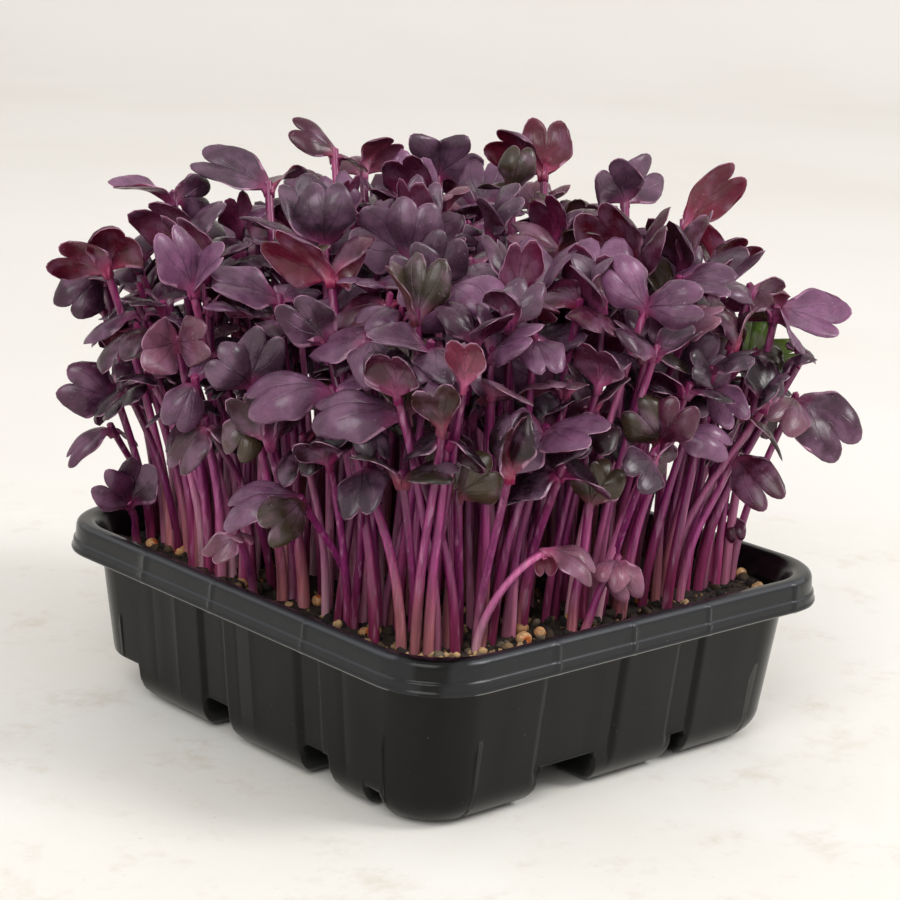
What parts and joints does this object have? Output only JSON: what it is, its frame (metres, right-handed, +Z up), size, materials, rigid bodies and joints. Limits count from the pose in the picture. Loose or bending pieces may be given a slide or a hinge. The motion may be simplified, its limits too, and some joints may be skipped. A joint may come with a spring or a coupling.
{
  "type": "radish microgreens tray",
  "caption": "Purple radish microgreens growing in a small black thermoformed nursery tray filled with potting mix.",
  "frame": {"origin": "centre of the tray's underside, in the plane of the feet it stands on", "axes": "+Z up; X and Y run along the tray's shorter and longer sides, the wide drainage channel along Y"},
  "size_m": [0.1467, 0.1407, 0.1281],
  "materials": {
    "tray_plastic": "satin",
    "potting_mix": "matte",
    "leaf_lilac": "satin",
    "leaf_slate": "satin",
    "leaf_purple": "satin",
    "leaf_wine": "satin",
    "leaf_mauve": "satin",
    "leaf_olive": "satin",
    "leaf_green": "satin"
  },
  "bodies": {
    "root": {"tray": "tray_plastic", "growing_medium": "potting_mix", "seedling_front_1": "leaf_lilac", "seedling_front_2": "leaf_lilac", "seedling_front_3": "leaf_lilac", "seedling_front_4": "leaf_lilac", "seedling_front_5": "leaf_lilac", "seedling_front_6": "leaf_olive", "seedling_front_7": "leaf_lilac", "seedling_front_8": "leaf_mauve", "seedling_front_9": "leaf_mauve", "seedling_left_1": "leaf_wine", "seedling_left_2": "leaf_purple", "seedling_left_3": "leaf_lilac", "seedling_left_4": "leaf_lilac", "seedling_left_5": "leaf_mauve", "seedling_left_6": "leaf_purple", "seedling_left_7": "leaf_purple", "seedling_left_8": "leaf_lilac", "seedling_left_9": "leaf_slate", "seedling_left_10": "leaf_purple", "seedling_left_11": "leaf_lilac", "seedling_middle_1": "leaf_slate", "seedling_middle_2": "leaf_wine", "seedling_middle_3": "leaf_slate", "seedling_middle_4": "leaf_purple", "seedling_middle_5": "leaf_purple", "seedling_middle_6": "leaf_wine", "seedling_middle_7": "leaf_slate", "seedling_middle_8": "leaf_mauve", "seedling_right_1": "leaf_lilac", "seedling_right_2": "leaf_slate", "seedling_right_3": "leaf_olive", "seedling_right_4": "leaf_mauve", "seedling_right_5": "leaf_wine", "seedling_right_6": "leaf_lilac", "seedling_right_7": "leaf_green", "seedling_right_8": "leaf_lilac", "seedling_right_9": "leaf_wine", "seedling_right_10": "leaf_wine", "seedling_top_1": "leaf_slate", "seedling_top_2": "leaf_slate", "seedling_top_3": "leaf_wine", "seedling_top_4": "leaf_wine", "seedling_top_5": "leaf_mauve", "seedling_top_6": "leaf_slate", "seedling_back_1": "leaf_purple", "seedling_back_2": "leaf_lilac", "seedling_back_3": "leaf_wine", "seedling_back_4": "leaf_slate", "seedling_back_5": "leaf_purple", "seedling_back_6": "leaf_lilac", "seedling_back_7": "leaf_olive", "seedling_back_8": "leaf_mauve", "seedling_back_9": "leaf_purple"}
  },
  "joints": []
}
